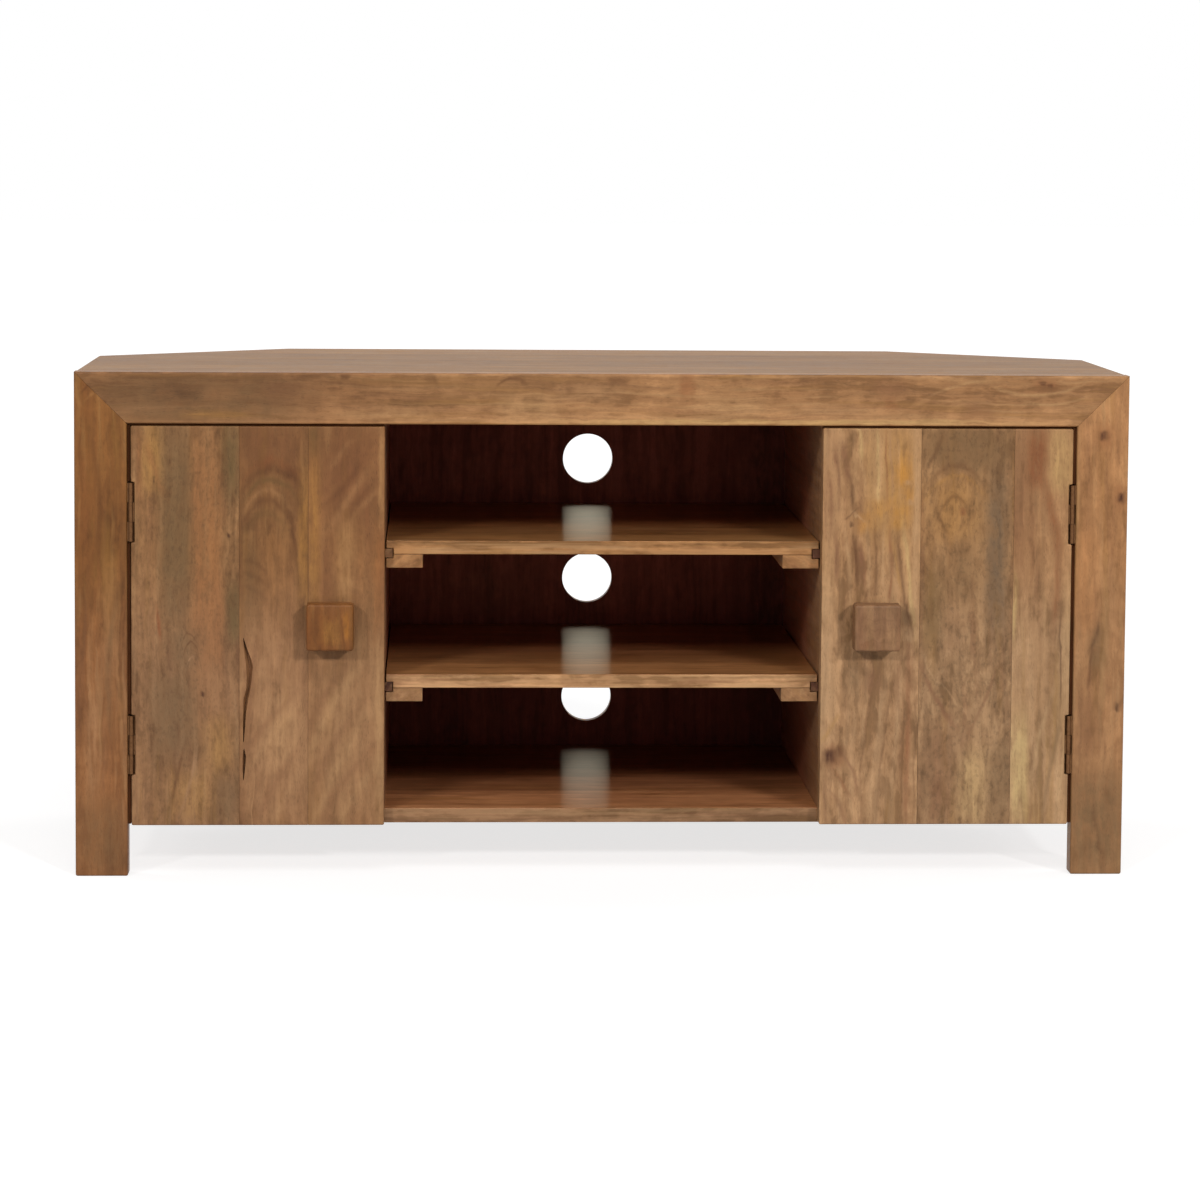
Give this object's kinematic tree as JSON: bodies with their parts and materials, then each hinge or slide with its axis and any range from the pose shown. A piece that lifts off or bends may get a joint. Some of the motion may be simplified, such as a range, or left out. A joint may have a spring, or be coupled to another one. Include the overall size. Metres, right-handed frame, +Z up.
{
  "type": "corner tv cabinet",
  "caption": "Low corner television cabinet in solid wood with a mitred front frame, hinged doors with square knobs, an open bay with sliding shelves and cable holes at the back.",
  "frame": {"origin": "on the floor, under the middle of the box around the whole cabinet, knobs included", "axes": "+X to the right along the front as seen by someone facing it, +Y from the front to the back, +Z up"},
  "size_m": [1.15, 0.48, 0.552],
  "materials": {
    "top": "satin lacquer, greyish tan",
    "front_frame": "satin lacquer",
    "sides": "satin lacquer",
    "inside": "satin lacquer, darker",
    "runners": "bare, planed",
    "catches": "moulded brown",
    "shelves": "satin lacquer",
    "left_door": "satin lacquer",
    "right_door": "satin lacquer",
    "left_knob": "satin lacquer",
    "right_knob": "satin lacquer",
    "hinges": "tarnished",
    "steel": "plated"
  },
  "bodies": {
    "cabinet": {"top_board": "top", "front_rail": "front_frame", "left_front_leg": "front_frame", "right_front_leg": "front_frame", "left_side_panel": "sides", "right_side_panel": "sides", "left_diagonal_panel": "sides", "right_diagonal_panel": "sides", "left_rear_leg": "sides", "right_rear_leg": "sides", "back_panel": "inside", "bottom_panel": "inside", "left_partition": "inside", "right_partition": "inside", "left_corner_batten": "inside", "right_corner_batten": "inside", "left_top_batten": "inside", "right_top_batten": "inside", "lower_left_runner": "runners", "lower_right_runner": "runners", "upper_left_runner": "runners", "upper_right_runner": "runners", "left_catch": "catches", "right_catch": "catches", "left_lower_hinge_frame_leaf": "hinges", "left_upper_hinge_frame_leaf": "hinges", "right_lower_hinge_frame_leaf": "hinges", "right_upper_hinge_frame_leaf": "hinges", "left_lower_hinge_pin": "steel", "left_upper_hinge_pin": "steel", "right_lower_hinge_pin": "steel", "right_upper_hinge_pin": "steel"},
    "left_door": {"left_door_outer_board": "left_door", "left_door_middle_board": "left_door", "left_door_inner_board": "left_door", "left_knob": "left_knob", "left_knob_screw": "steel", "left_strike_plate": "steel", "left_lower_hinge_door_leaf": "hinges", "left_upper_hinge_door_leaf": "hinges"},
    "right_door": {"right_door_outer_board": "right_door", "right_door_middle_board": "right_door", "right_door_inner_board": "right_door", "right_knob": "right_knob", "right_knob_screw": "steel", "right_strike_plate": "steel", "right_lower_hinge_door_leaf": "hinges", "right_upper_hinge_door_leaf": "hinges"},
    "upper_shelf": {"upper_shelf_board": "shelves", "upper_shelf_left_cleat": "shelves", "upper_shelf_right_cleat": "shelves"},
    "lower_shelf": {"lower_shelf_board": "shelves", "lower_shelf_left_cleat": "shelves", "lower_shelf_right_cleat": "shelves"}
  },
  "joints": [
    {"name": "left_door_swing", "type": "hinge", "parent": "cabinet", "child": "left_door", "pos_m": [-0.514, -0.2085, 0.272], "axis": [0, 0, -1], "range_deg": [0, 130]},
    {"name": "right_door_swing", "type": "hinge", "parent": "cabinet", "child": "right_door", "pos_m": [0.514, -0.2085, 0.272], "axis": [0, 0, 1], "range_deg": [0, 130]},
    {"name": "upper_shelf_slide", "type": "slide", "parent": "cabinet", "child": "upper_shelf", "axis": [0, -1, 0], "range_m": [0, 0.44]},
    {"name": "lower_shelf_slide", "type": "slide", "parent": "cabinet", "child": "lower_shelf", "axis": [0, -1, 0], "range_m": [0, 0.44]}
  ]
}
